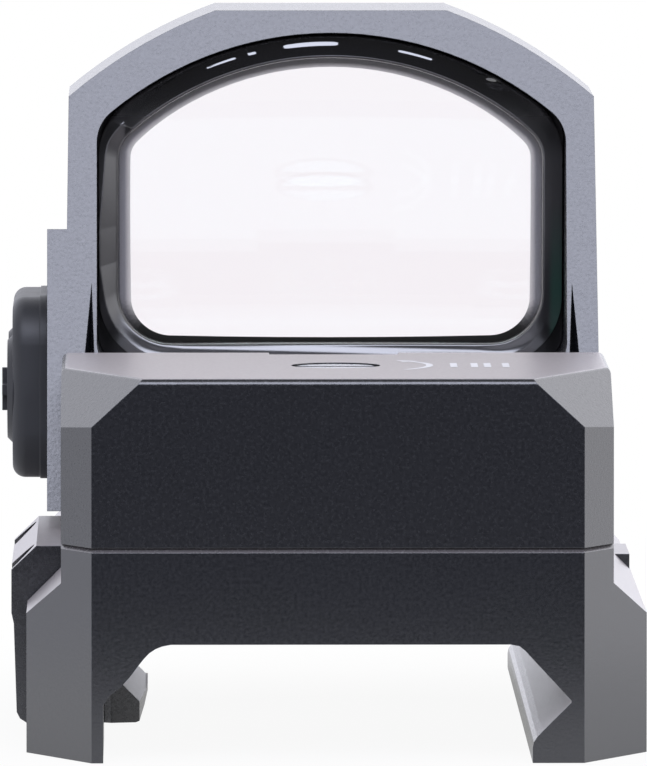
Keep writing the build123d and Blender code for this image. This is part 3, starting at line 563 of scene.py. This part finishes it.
# %% Assign finishes to the nodes
finishes = {
    "anodised_body": anodised_body, "anodised_mount": anodised_mount, "anodised_tray": anodised_tray,
    "coated_glass": coated_glass, "clear_glass": clear_glass, "gloss_black": gloss_black,
    "black_sealant": black_sealant, "keypad_rubber": keypad_rubber, "seal_rubber": seal_rubber,
    "black_steel": black_steel, "plain_steel": plain_steel, "spring_steel": spring_steel,
    "cell_can": cell_can, "contact_brass": contact_brass, "carriage_brass": carriage_brass,
    "board": board, "chip_plastic": chip_plastic, "led": led,
}
for entry in frame["record"]["subparts"]:
    node = frame["nodes"][entry["node"]]
    node.data.materials.clear()
    finish = anodised_jaw if entry["node"] == "clamp_jaw" else finishes[entry["material_slot"]]
    node.data.materials.append(finish)

# %% [markdown]
# ## The sealing bead round the lens
# The lens is glued into its tunnel with a bead of gloss black sealant.  The solid gives the bead an even
# crown.  The real one was drawn along by hand: its crest lies near the wall on the left and the bottom, so
# its slope faces the window there, while along the top and the right it is nearly flat.
#
# The bead is one closed surface of two parameters.  The first goes round the arched window, the second
# across the bead.  Its tilt is given at each place, and its height is the sum of the tilt's tangent.

# %% Mesh helpers
def grid_faces(rows, columns, wrap):
    """Quads between neighbouring rows and columns of a grid; wrap joins the last column to the first."""
    last = columns if wrap else columns - 1
    row, column = np.meshgrid(np.arange(rows - 1), np.arange(last), indexing="ij")
    across = (column + 1) % columns
    quads = [row * columns + column, row * columns + across, (row + 1) * columns + across,
             (row + 1) * columns + column]
    return np.stack(quads, axis=-1).reshape(-1, 4)


def surface(name, points, faces):
    """A mesh object at the origin from arrays of points and quads."""
    mesh = bpy.data.meshes.new(name)
    mesh.from_pydata(points.tolist(), [], faces.tolist())
    mesh.update()
    piece = bpy.data.objects.new(name, mesh)
    bpy.context.scene.collection.objects.link(piece)
    return piece


# %% [markdown]
# ### The arched window
# The window and the tunnel's wall round it are the same kind of figure, flat below and round above.  Both
# are written as a distance from one middle point at each angle, so the bead can run between them.

# %% The arched outline
MIDDLE_Z = 18.5
ARCH_STEPS = 80


def arched_radius(angle, half, floor, top, arc, low_r, high_r):
    """Distance in mm from the window's middle to its outline at each angle.

    The right half is a straight floor, a rounded corner, a straight side, a second rounded corner and
    the round top; the left half is its mirror image.
    """
    crown = top - arc
    high_z = crown + math.sqrt((arc - high_r) ** 2 - (half - high_r) ** 2)
    lean = math.atan2(high_z - crown, half - high_r)
    steps = np.linspace(0.0, 1.0, ARCH_STEPS)
    low_turn = (steps - 1) * math.pi / 2
    high_turn = steps * lean
    top_turn = lean + steps * (math.pi / 2 - lean)
    x = np.concatenate([steps * (half - low_r), half - low_r + low_r * np.cos(low_turn),
                        np.full(ARCH_STEPS, half), half - high_r + high_r * np.cos(high_turn),
                        arc * np.cos(top_turn)])
    z = np.concatenate([np.full(ARCH_STEPS, floor), floor + low_r + low_r * np.sin(low_turn),
                        floor + low_r + steps * (high_z - floor - low_r),
                        high_z + high_r * np.sin(high_turn), crown + arc * np.sin(top_turn)])
    folded = np.arcsin(np.sin(angle))
    return np.interp(folded, np.arctan2(z - MIDDLE_Z, x), np.hypot(x, z - MIDDLE_Z))


# %% [markdown]
# ### How the bead tilts
# The crest wanders between the wall and the window.  Outside it lies a shelf that leans out; along the
# top a low ridge on that shelf swells in four places, which breaks its highlight into dashes.  Inside it
# each side has a slope of its own, and the floor's ripples where the tool dragged.  A small blister spoils
# the skin near the upper right corner.  At the window's edge the bead turns down steeply.

# %% Crest, slope and shelf
CREST_BAND = 0.06
CREST_MIDDLE = 0.5
FLOOR_TO_WALL = 0.2
CREST_Z = (11.6, 13.6, 15.4, 17.2, 21.4, 23.6)
CREST_AT = (0.5, 0.3, 0.04, 0.04, 0.36, 0.7)
LEFT_SLOPE, RIGHT_SLOPE, TOP_SLOPE, FLOOR_SLOPE = 33.0, -10.0, -2.0, 15.0
CORNER_X, CORNER_Z = (-9.85, -9.6), (20.0, 21.5)
LOW_POWER, HIGH_POWER = 4.0, 2.0
FLOOR_RIPPLE = 11.0
RIPPLE_ACROSS, RIPPLE_ALONG = 11, 0.35
SLOPE_CURVE = 4
SHELF_TILT = -12.0
LEFT_LEAN = 2
WALL_DROP = 52.0
DROP_WIDE, DROP_LEAST = 0.3, 0.05
RIDGE_AT = 0.41
RIDGE_HALF, RIDGE_FADE = 0.03, 0.04
RIDGE_EXTRA, RIDGE_SPREAD = 0.05, 3.6
SWELL_CORE = 0.6
SWELL_TILT = 8.0
SWELLS = ((-5.14, 0.95, 0.78), (-3.68, 0.25, 0.85), (-0.93, 1.6, 1.0), (3.95, 1.05, 0.95))
BLISTER_TILT = 18.0
BLISTER_X, BLISTER_AT = 7.6, 0.3
BLISTER_LONG, BLISTER_WIDE = 0.6, 0.2
BLISTER_ACROSS, BLISTER_ALONG = 14, 4
EDGE_TILT = 80.0
EDGE_FROM = 0.84


def smooth(value, low, high):
    """Ease from 0 to 1 as the value goes from low to high."""
    part = np.clip((value - low) / (high - low), 0.0, 1.0)
    return part * part * (3 - 2 * part)


def crest_place(z, left, down):
    """Where the crest lies across the bead, 0 at the wall and 1 at the window."""
    wander = np.interp(z, CREST_Z, CREST_AT)
    return CREST_MIDDLE + left ** 2 * (wander - CREST_MIDDLE) - FLOOR_TO_WALL * down ** 2


def inner_slope(across, x, z, left, right, up, down):
    """Degrees of tilt inside the crest: each side's slope by how far the wall faces that way."""
    kept = 1 - smooth(x, *CORNER_X) * smooth(z, *CORNER_Z)
    leftward = (LEFT_SLOPE - RIGHT_SLOPE) * kept + RIGHT_SLOPE
    slope = leftward * left ** np.where(z > CORNER_Z[0], HIGH_POWER, LOW_POWER)
    slope = slope + RIGHT_SLOPE * right ** 2 + TOP_SLOPE * up ** 2 + FLOOR_SLOPE * down ** 2
    ripple = FLOOR_RIPPLE * down ** 2 * np.sin(RIPPLE_ACROSS * across + RIPPLE_ALONG * x)
    return slope + ripple + SLOPE_CURVE * (across - CREST_MIDDLE)


def shelf_tilt(across, x, crest, left, up):
    """Degrees of tilt outside the crest: a shelf that leans out, its ridge and the drop at the wall."""
    swell = sum(size * (1 - smooth(np.abs(x - middle), SWELL_CORE * half, half))
                for middle, half, size in SWELLS)
    wide = RIDGE_HALF + RIDGE_EXTRA * np.exp(-(x - SWELLS[2][0]) ** 2 / RIDGE_SPREAD)
    ridge = 1 - smooth(np.abs(across - RIDGE_AT), wide, wide + RIDGE_FADE)
    shelf = SHELF_TILT - LEFT_LEAN * left - SWELL_TILT * swell * ridge * up ** 4
    return shelf - WALL_DROP * (1 - smooth(across, 0.0, DROP_WIDE * crest + DROP_LEAST)) * up


def bead_tilt(across, x, z, left, right, up, down):
    """Degrees of tilt towards the window: shelf outside the crest, slope inside it, steep at the window."""
    crest = crest_place(z, left, down)
    inside = smooth(across, crest - CREST_BAND, crest + CREST_BAND)
    spot = np.exp(-((x - BLISTER_X) / BLISTER_LONG) ** 2 - ((across - BLISTER_AT) / BLISTER_WIDE) ** 2)
    blister = BLISTER_TILT * spot * np.sin(BLISTER_ACROSS * across + BLISTER_ALONG * x)
    tilt = shelf_tilt(across, x, crest, left, up) * (1 - inside) + blister * up
    tilt = tilt + inner_slope(across, x, z, left, right, up, down) * inside
    return tilt + (EDGE_TILT - tilt) * smooth(across, EDGE_FROM, 1.0)


# %% [markdown]
# ### Laying the bead
# Each section starts at the wall, climbs and falls by its tilt, and is lifted so that its crest stands
# clear of the lens by the bead's height.  Two rows on the lens close it underneath.  The solid's even bead
# is replaced by this one in what is drawn.

# %% The bead's surface
BEAD_OUTER = (10.93, 10.7, 26.45, 16.3, 3.2, 3.4)
BEAD_INNER = (9.97, 11.76, 25.28, 14.3, 2.4, 1.6)
BEAD_HEIGHT = 0.85
SEAT_Y = 11.126
ROUND_STEPS = 1200
ACROSS_STEPS = 48


def facing_sides(wall, angle):
    """How far the wall's outward normal (dz, -dx) / hypot(dx, dz) points left, right, up and down."""
    run_x, run_z = np.gradient(wall * np.cos(angle)), np.gradient(wall * np.sin(angle))
    run = np.hypot(run_x, run_z)
    out_x, out_z = run_z / run, -run_x / run
    return np.maximum(-out_x, 0), np.maximum(out_x, 0), np.maximum(out_z, 0), np.maximum(-out_z, 0)


def bead_points():
    """Crown rows from the wall to the window, then two foot rows on the lens, in metres.

    height = crest height - sum of tan(tilt) * step;
    y = seat - height / cos(rake) - (z - middle) * tan(rake).
    """
    angle = np.linspace(0, 2 * np.pi, ROUND_STEPS, endpoint=False)
    across = np.linspace(0, 1, ACROSS_STEPS)[:, None]
    wall = arched_radius(angle, *BEAD_OUTER)
    pane = arched_radius(angle, *BEAD_INNER)
    radius = wall + (pane - wall) * across
    x = radius * np.cos(angle)
    z = MIDDLE_Z + radius * np.sin(angle)
    tilt = bead_tilt(across, x, z, *facing_sides(wall, angle))
    drop = np.tan(np.radians(tilt)) * (wall - pane) / (ACROSS_STEPS - 1)
    height = -np.cumsum(drop, axis=0)
    height = np.maximum(height - height.max(axis=0) + BEAD_HEIGHT, 0.0)
    print("bead height from", round(height.min(), 3), "to", round(height.max(), 3), "mm")
    x = np.concatenate([x, x[-1:], x[:1]])
    z = np.concatenate([z, z[-1:], z[:1]])
    height = np.concatenate([height, np.zeros((2, ROUND_STEPS))])
    y = SEAT_Y - height / math.cos(NOSE_RAKE) - math.tan(NOSE_RAKE) * (z - MIDDLE_Z)
    return np.stack([x, y, z], axis=-1).reshape(-1, 3) * MM


def sealing_bead():
    """The closed bead: quads round it, and a strip that joins the last row to the first; a smooth crown."""
    here = np.arange(ROUND_STEPS)
    onward = np.roll(here, -1)
    foot = (ACROSS_STEPS + 1) * ROUND_STEPS
    strip = np.stack([foot + here, foot + onward, onward, here], axis=-1)
    faces = np.concatenate([grid_faces(ACROSS_STEPS + 2, ROUND_STEPS, wrap=True), strip])
    bead = surface("bead", bead_points(), faces)
    crown_faces = (ACROSS_STEPS - 1) * ROUND_STEPS
    bead.data.polygons.foreach_set("use_smooth", np.arange(len(faces)) < crown_faces)
    bead.data.materials.append(gloss_black)
    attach(bead, "sight_and_mount")
    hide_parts("lens_bezel")


sealing_bead()

# %% [markdown]
# ## The elevation spring
# Under the elevation carriage sits a coil of music wire.  Its foot stands on the board and its head bears
# on the carriage, so it shortens as the screw drives the carriage down and grows as the screw backs out.
# Here it is drawn once, as a fixed coil as long as the CAD spring.

# %% Elevation coil
COIL_RADIUS = 1.1 * MM
COIL_WIRE = 0.12 * MM
COIL_TURNS = 2.5
COIL_STEPS = 160
WIRE_STEPS = 12
DOME_PARTS = 80
DOME_LEAST = 0.0001


def elevation_coil():
    """Tube along a helix: a circle of the wire's radius round each point, closing to a dome at both ends."""
    low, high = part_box("elevation_spring")
    middle = np.array(((low.x + high.x) / 2, (low.y + high.y) / 2, 0.0))
    part, turn = np.meshgrid(np.linspace(0, 1, COIL_STEPS),
                             np.linspace(0, 2 * np.pi, WIRE_STEPS, endpoint=False), indexing="ij")
    angle = 2 * np.pi * COIL_TURNS * part
    climb = high.z - low.z - 2 * COIL_WIRE
    outward = np.stack([np.cos(angle), np.sin(angle), np.zeros_like(angle)], axis=-1)
    rise = climb / (2 * np.pi * COIL_TURNS * COIL_RADIUS)
    across = np.stack([-rise * np.sin(angle), rise * np.cos(angle), -np.ones_like(angle)], axis=-1)
    across /= math.hypot(rise, 1.0)
    centre = middle + COIL_RADIUS * outward
    centre[..., 2] = low.z + COIL_WIRE + climb * part
    into_dome = (np.abs(2 * part - 1) * DOME_PARTS - (DOME_PARTS - 1)).clip(0)
    dome = np.sqrt(np.clip(1 - into_dome ** 2, DOME_LEAST, 1))
    wire_out = (COIL_WIRE * dome * np.cos(turn))[..., None] * outward
    wire_up = (COIL_WIRE * dome * np.sin(turn))[..., None] * across
    points = (centre + wire_out + wire_up).reshape(-1, 3)
    coil = surface("elevation_coil", points, grid_faces(COIL_STEPS, WIRE_STEPS, wrap=True))
    coil.data.polygons.foreach_set("use_smooth", np.ones(len(coil.data.polygons), bool))
    coil.data.materials.append(spring_steel)
    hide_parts("elevation_spring")
    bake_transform(coil)
    print("coil from", round(low.z / MM, 2), "to", round(high.z / MM, 2), "mm")


elevation_coil()

# %% [markdown]
# ## Marks on the deck
# The elevation screw has a small arrow beside it that shows which way to turn, and index ticks beside the
# arrow.  They are engraved and filled with white paint, so each is a thin ribbon a hair above the deck.

# %% Paint and marks
DECK_TOP = 0.0121
PAINT_RISE = 0.00001
LINE_HALF = 0.16 * MM
ARROW_R = 4.6 * MM
ARROW_SHIFT = 0.28 * MM
ARROW_FROM, ARROW_TO = math.radians(-42), math.radians(34)
ARROW_STEPS = 24
HEAD_RUN = (-0.7 * MM, 1.0 * MM)
HEAD_WIDE, HEAD_TIP = 0.5, 0.02
HEAD_STEPS = 6
TICK_REACH = (5.42, 6.37, 6.97, 7.81)
TICK_HALF = 1.4


def painted_mark(name, centre_line, half_width, finish):
    """Ribbon along a line on the deck: the line's points shifted to either side by the half width."""
    run = np.gradient(centre_line, axis=0)
    side = np.stack([-run[:, 1], run[:, 0]], axis=-1) / np.hypot(run[:, 0], run[:, 1])[:, None]
    rows = np.stack([centre_line - side * half_width[:, None], centre_line + side * half_width[:, None]])
    height = np.full(rows.shape[:2] + (1,), DECK_TOP + PAINT_RISE)
    points = np.concatenate([rows, height], axis=-1).reshape(-1, 3)
    mark = surface(name, points, grid_faces(2, len(centre_line), wrap=False))
    mark.data.materials.append(finish)
    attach(mark, "sight_and_mount")


mark_paint = moulded("mark_paint", (0.75, 0.75, 0.76), 0.5, 9000.0, 0.2)
screw_low, screw_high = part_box("elevation_screw")
screw_x = (screw_low.x + screw_high.x) / 2
screw_y = (screw_low.y + screw_high.y) / 2
arrow_turn = np.linspace(ARROW_FROM, ARROW_TO, ARROW_STEPS)
arrow_line = np.stack([screw_x - ARROW_SHIFT + ARROW_R * np.cos(arrow_turn),
                       screw_y + ARROW_R * np.sin(arrow_turn)], axis=-1)
painted_mark("turn_arrow", arrow_line, np.full(ARROW_STEPS, LINE_HALF), mark_paint)
head_line = arrow_line[-1] + np.linspace(0, 1, HEAD_STEPS)[:, None] * np.array(HEAD_RUN)
painted_mark("turn_arrow_head", head_line, np.linspace(HEAD_WIDE, HEAD_TIP, HEAD_STEPS) * MM, mark_paint)
for number, reach in enumerate(TICK_REACH):
    tick_ends = screw_y + np.array((-TICK_HALF, TICK_HALF)) * MM
    tick_line = np.stack([np.full(2, screw_x + reach * MM), tick_ends], axis=-1)
    painted_mark(f"index_tick_{number}", tick_line, np.full(2, LINE_HALF), mark_paint)
print("marks beside the screw at", round(screw_x / MM, 2), round(screw_y / MM, 2))

# %% [markdown]
# ## A light tent
# A black object on white needs two kinds of light: a pale surround that its edges and slopes mirror, and
# one broad lamp above the camera that lifts the faces which lean back.  The surround is the world itself.
# To the eye and through glass it is plain white.  As a light and in reflections it is brightest beyond the
# sight and dimmer on the left than on the right.  It is dim overhead, where the tent is open, and dark
# round the camera, where a real tent has its hole.

# %% World
TENT_SIDE = 1.0
TENT_FRONT = 1.5
TENT_HOLE = 0.05
TENT_ROOF = 0.2
TENT_LEFT = 0.88
TENT_RIGHT = 1.2
FRONT_SPAN = (0.62, 0.82)
HOLE_SPAN = (-0.85, -0.55)
ROOF_SPAN = (0.86, 0.97)
SIDE_SPAN = (-0.8, 0.8)
LEFT_WHITE = (0.93, 0.945, 1.05)
RIGHT_WHITE = (0.955, 0.955, 1.01)


def seen_directly(tree, path):
    """1 for rays that come from the camera, straight or through glass."""
    return combine(tree, "MAXIMUM", (path, "Is Camera Ray"), (path, "Is Transmission Ray"))


def light_tent():
    """World: white for camera and glass rays; for the rest a product of ranges of the ray's direction."""
    world = bpy.data.worlds.new("tent")
    bpy.context.scene.world = world
    world.use_nodes = True
    tree = world.node_tree
    tree.nodes.clear()
    parts = add(tree, "SeparateXYZ")
    wire(tree, add(tree, "TexCoord"), "Generated", parts, 0)
    front = remap(tree, parts, "Y", *FRONT_SPAN, TENT_SIDE, TENT_FRONT)
    hole = remap(tree, parts, "Y", *HOLE_SPAN, TENT_HOLE, 1.0)
    tilt = remap(tree, parts, "X", *SIDE_SPAN, TENT_LEFT, TENT_RIGHT)
    roof = remap(tree, parts, "Z", *ROOF_SPAN, 1.0, TENT_ROOF)
    open_level = combine(tree, "MULTIPLY", (front, "Result"), (roof, "Result"))
    level = combine(tree, "MULTIPLY", (open_level, "Value"), (hole, "Result"))
    strength = combine(tree, "MULTIPLY", (level, "Value"), (tilt, "Result"))
    sideways = remap(tree, parts, "X", *SIDE_SPAN, 0.0, 1.0)
    tone = blend_colours(tree, sideways, "Result", LEFT_WHITE, RIGHT_WHITE)
    pale = add(tree, "Background")
    wire(tree, tone, "Result", pale, "Color")
    wire(tree, strength, "Value", pale, "Strength")
    white = add(tree, "Background", Color=(1, 1, 1, 1), Strength=1.0)
    mix = add(tree, "MixShader")
    wire(tree, seen_directly(tree, add(tree, "LightPath")), "Value", mix, 0)
    wire(tree, pale, "Background", mix, 1)
    wire(tree, white, "Background", mix, 2)
    out = tree.nodes.new("ShaderNodeOutputWorld")
    wire(tree, mix, "Shader", out, "Surface")


light_tent()

# %% [markdown]
# ## The lamp over the camera
# The lamp is a wide softbox.  Its height is given by the two angles between which it is seen from the
# sight, because they decide which slopes mirror it.  Its power follows from its size, so a wider box keeps
# the same brightness at every place on its face.

# %% Softbox
KEY_LOW, KEY_HIGH = math.radians(18.0), math.radians(50.0)
KEY_AWAY = 1.2
KEY_WIDE = 1.6
KEY_RADIANCE = 4.2
KEY_COLOUR = (0.91, 0.945, 1.13)
KEY_AIM = (0, 0, 0.015)


def turn_to(thing, place, aim):
    """Put a lamp at a place, looking at a point, with its top up."""
    thing.location = place
    look = Vector(aim - place)
    thing.rotation_euler = look.to_track_quat("-Z", "Y").to_euler()


def soft_box(name, place, aim, size, watts, colour):
    """Rectangular area lamp at a place, turned to face a point."""
    data = bpy.data.lights.new(name, "AREA")
    data.shape = "RECTANGLE"
    data.size, data.size_y = size
    data.energy = watts
    data.color = colour
    lamp = bpy.data.objects.new(name, data)
    bpy.context.scene.collection.objects.link(lamp)
    turn_to(lamp, np.array(place), np.array(aim))
    print(name, "is", round(size[1], 3), "m tall and gives", round(watts, 1), "W")


key_tilt = (KEY_LOW + KEY_HIGH) / 2
key_tall = 2 * KEY_AWAY * math.tan((KEY_HIGH - KEY_LOW) / 2)
key_place = (0.0, -KEY_AWAY * math.cos(key_tilt), KEY_AWAY * math.sin(key_tilt))
soft_box("over_camera", key_place, KEY_AIM, (KEY_WIDE, key_tall),
         KEY_RADIANCE * math.pi * KEY_WIDE * key_tall, KEY_COLOUR)

# %% [markdown]
# ## The floor
# The floor is a small pale disc that fades into the white surround, so it keeps the contact shadow
# without drawing a horizon.  It is part lamp: to the eye nearly all of its white is its own light.

# %% Floor
FLOOR_RADIUS = 0.055
FLOOR_DROP = 0.00002
FLOOR_TURNS, FLOOR_RINGS = 96, 12
FLOOR_GREY = (0.62, 0.62, 0.63)
FADE_SPAN = (0.3, 0.95)
MIDDLE_GLOW = 0.93
MIRRORED_GLOW = 0.6


def pale_floor(height, radius):
    """Disc as rings: each point is a fraction of the radius times (cos, sin) of its angle."""
    angle, part = np.meshgrid(np.linspace(0, 2 * np.pi, FLOOR_TURNS, endpoint=False),
                              np.linspace(0, 1, FLOOR_RINGS))
    points = np.stack([radius * part * np.cos(angle), radius * part * np.sin(angle),
                       np.full_like(part, height)], axis=-1).reshape(-1, 3)
    return surface("floor", points, grid_faces(FLOOR_RINGS, FLOOR_TURNS, wrap=True))


def floor_finish(radius):
    """White card that glows to the eye, wholly so towards its rim, and partly in reflections."""
    material, tree, shader = new_finish("floor_card")
    shader.inputs["Base Color"].default_value = (*FLOOR_GREY, 1)
    shader.inputs["Roughness"].default_value = 0.9
    distance = add(tree, "VectorMath", {"operation": "LENGTH"})
    wire(tree, object_place(tree), "Object", distance, 0)
    rim = remap(tree, distance, "Value", FADE_SPAN[0] * radius, FADE_SPAN[1] * radius, MIDDLE_GLOW, 1.0)
    path = add(tree, "LightPath")
    shine = add(tree, "Math", {"operation": "MULTIPLY"})
    shine.inputs[1].default_value = MIRRORED_GLOW
    wire(tree, path, "Is Glossy Ray", shine, 0)
    eye = combine(tree, "MAXIMUM", (seen_directly(tree, path), "Value"), (shine, "Value"))
    seen = combine(tree, "MULTIPLY", (eye, "Value"), (rim, "Result"))
    glow = add(tree, "Emission", Color=(1, 1, 1, 1), Strength=1.0)
    mix = add(tree, "MixShader")
    wire(tree, seen, "Value", mix, 0)
    wire(tree, shader, "BSDF", mix, 1)
    wire(tree, glow, "Emission", mix, 2)
    out = next(n for n in tree.nodes if n.type == "OUTPUT_MATERIAL")
    wire(tree, mix, "Shader", out, "Surface")
    return material


floor = pale_floor(cad_box[0][2] - FLOOR_DROP, FLOOR_RADIUS)
floor.data.materials.append(floor_finish(FLOOR_RADIUS))
print("floor at", round((cad_box[0][2] - FLOOR_DROP) / MM, 3), "mm")

# %% [markdown]
# ## A dark card
# On the right, where the sealing bead turns down to the window, it mirrors what stands beyond the sight on
# the left, and a bright tent there would make it shine.  A black card, low at the front left and seen only
# in reflections, gives it something dark to mirror.

# %% Dark card
CARD_AWAY = 0.3
CARD_NEAR = (-0.743, 0.669)
CARD_FAR = (-0.375, 0.927)
CARD_Z = (-0.08, 0.045)
CARD_BLACK = (0.004, 0.004, 0.004)


def dark_card():
    """Upright black rectangle between two directions, hidden from the eye, from glass and from shadows."""
    near, far = np.array(CARD_NEAR) * CARD_AWAY, np.array(CARD_FAR) * CARD_AWAY
    low, high = CARD_Z
    points = np.array([(*near, low), (*far, low), (*far, high), (*near, high)])
    card = surface("flag", points, np.array([(0, 1, 2, 3)]))
    material, _, shader = new_finish("flag_black")
    shader.inputs["Base Color"].default_value = (*CARD_BLACK, 1)
    shader.inputs["Roughness"].default_value = 1.0
    card.data.materials.append(material)
    card.visible_camera = False
    card.visible_transmission = False
    card.visible_shadow = False


dark_card()

# %% [markdown]
# ## The camera
# The sight is seen from the user's side through a very long lens, a little from above and from the
# left, so its verticals stay upright and its depth is only hinted at.

# %% Camera
SENSOR = 36.0
LENS = 759.0
PITCH = 0.06603
YAW = 0.01068
EYE = (-0.00847, -0.75105, 0.06026)
CLIP_NEAR, CLIP_FAR = 0.01, 10.0


def long_lens():
    """Camera at the eye point, pitched down and turned a little right."""
    data = bpy.data.cameras.new("camera")
    data.sensor_width = SENSOR
    data.lens = LENS
    data.clip_start = CLIP_NEAR
    data.clip_end = CLIP_FAR
    camera = bpy.data.objects.new("camera", data)
    bpy.context.scene.collection.objects.link(camera)
    camera.location = EYE
    camera.rotation_euler = (math.pi / 2 - PITCH, 0.0, -YAW)
    bpy.context.scene.camera = camera


long_lens()
bpy.context.scene.view_settings.view_transform = "Standard"
